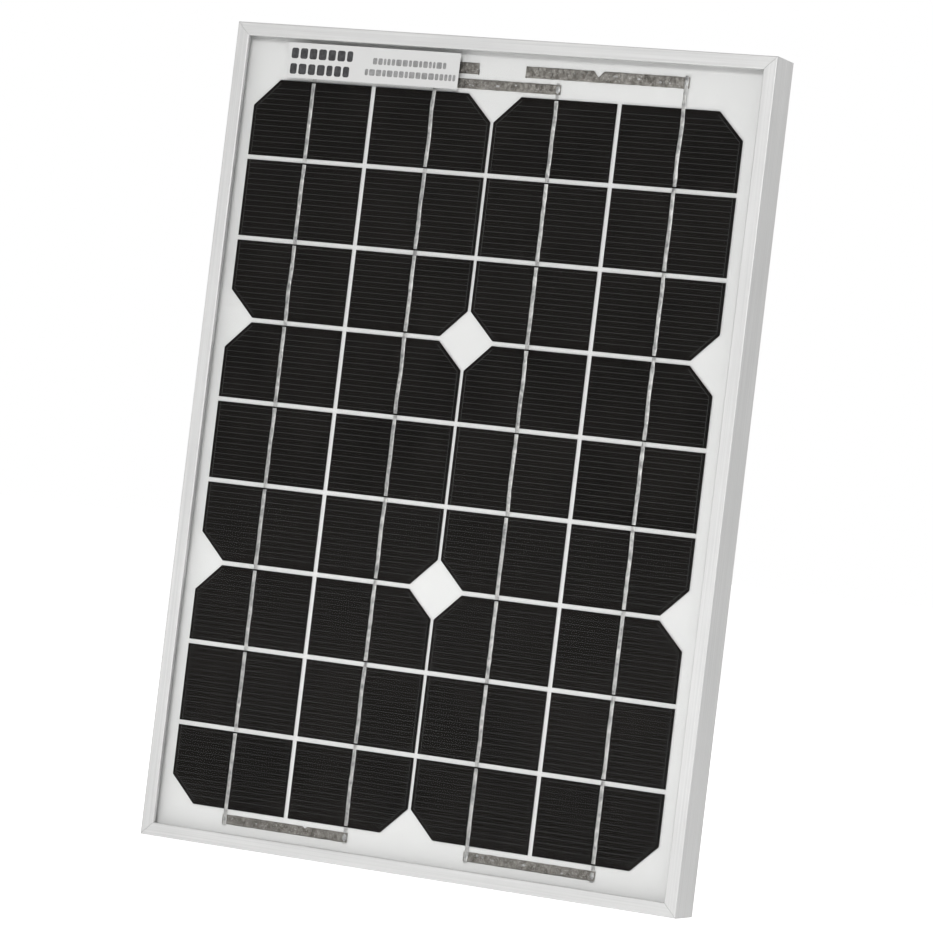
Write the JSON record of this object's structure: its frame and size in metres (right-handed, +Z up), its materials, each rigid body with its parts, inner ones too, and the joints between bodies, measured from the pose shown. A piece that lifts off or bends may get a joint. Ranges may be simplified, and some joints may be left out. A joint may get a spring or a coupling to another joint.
{
  "type": "small framed solar panel",
  "caption": "Small framed solar panel: mitred aluminium frame, glass over rows of cut cells, and a rear junction box with hinged lid and coiled lead.",
  "frame": {"origin": "centre of the rear plane, where the frame's flanges bear on what the panel is bolted to", "axes": "+Z up along the panel's long side, -Y out of the glass, +X to the right as seen from the glass side"},
  "size_m": [0.24, 0.018, 0.34],
  "materials": {
    "frame_anodised": "satin clear anodised, fine extrusion grain along each rail",
    "key_aluminium": "plain pressed",
    "seal_tape": "matt foam tape",
    "cover_glass": "clear tempered, smooth",
    "clear_film": "clear encapsulant film",
    "cell_silicon": "near-black monocrystalline with fine printed fingers",
    "tinned_ribbon": "tinned copper, slightly wavy",
    "tinned_bus": "dull mottled tinned copper",
    "backsheet_white": "white film, slight embossing",
    "label_white": "white film label with plain bars",
    "label_silver": "matt silver film label, ruled and blank",
    "box_plastic": "fine spark-eroded texture",
    "silicone_white": "cured silicone",
    "gasket_rubber": "soft rubber",
    "pin_steel": "plain",
    "terminal_brass": "stamped",
    "screw_steel": "zinc plated",
    "diode_epoxy": "moulded, tinned legs",
    "gland_plastic": "moulded nylon",
    "cable_black": "matt sheath",
    "core_red": "insulation with bare tinned ends",
    "core_black": "insulation with bare tinned ends",
    "tie_plastic": "nylon"
  },
  "bodies": {
    "panel": {"frame_top": "frame_anodised", "frame_bottom": "frame_anodised", "frame_left": "frame_anodised", "frame_right": "frame_anodised", "corner_keys": "key_aluminium", "edge_seal": "seal_tape", "cover_glass": "cover_glass", "front_encapsulant": "clear_film", "cell_string_1": "cell_silicon", "cell_string_2": "cell_silicon", "cell_string_3": "cell_silicon", "cell_string_4": "cell_silicon", "string_ribbon_1": "tinned_ribbon", "string_ribbon_2": "tinned_ribbon", "string_ribbon_3": "tinned_ribbon", "string_ribbon_4": "tinned_ribbon", "bus_bottom_left": "tinned_bus", "bus_bottom_right": "tinned_bus", "bus_top_middle": "tinned_bus", "bus_output_left": "tinned_bus", "bus_output_right": "tinned_bus", "rear_encapsulant": "clear_film", "backsheet": "backsheet_white", "front_label": "label_white", "rating_label": "label_silver", "box_base": "box_plastic", "box_adhesive": "silicone_white", "box_gasket": "gasket_rubber", "box_hinge_pins": "pin_steel", "terminal_plates": "terminal_brass", "terminal_screws": "screw_steel", "bypass_diode": "diode_epoxy", "gland_seal": "gasket_rubber", "cable_sheath": "cable_black", "cable_core_positive": "core_red", "cable_core_negative": "core_black", "cable_ties": "tie_plastic"},
    "lid": {"box_lid": "box_plastic"},
    "nut": {"gland_nut": "gland_plastic"}
  },
  "joints": [
    {"name": "lid_hinge", "type": "hinge", "parent": "panel", "child": "lid", "pos_m": [-0.0309, -0.0023, 0.1347], "axis": [0, 0, 1], "range_deg": [0, 110]},
    {"name": "gland_nut_turn", "type": "hinge", "parent": "panel", "child": "nut", "pos_m": [-0.018, -0.0064, 0.103], "axis": [0, 0, 1], "continuous": true}
  ]
}
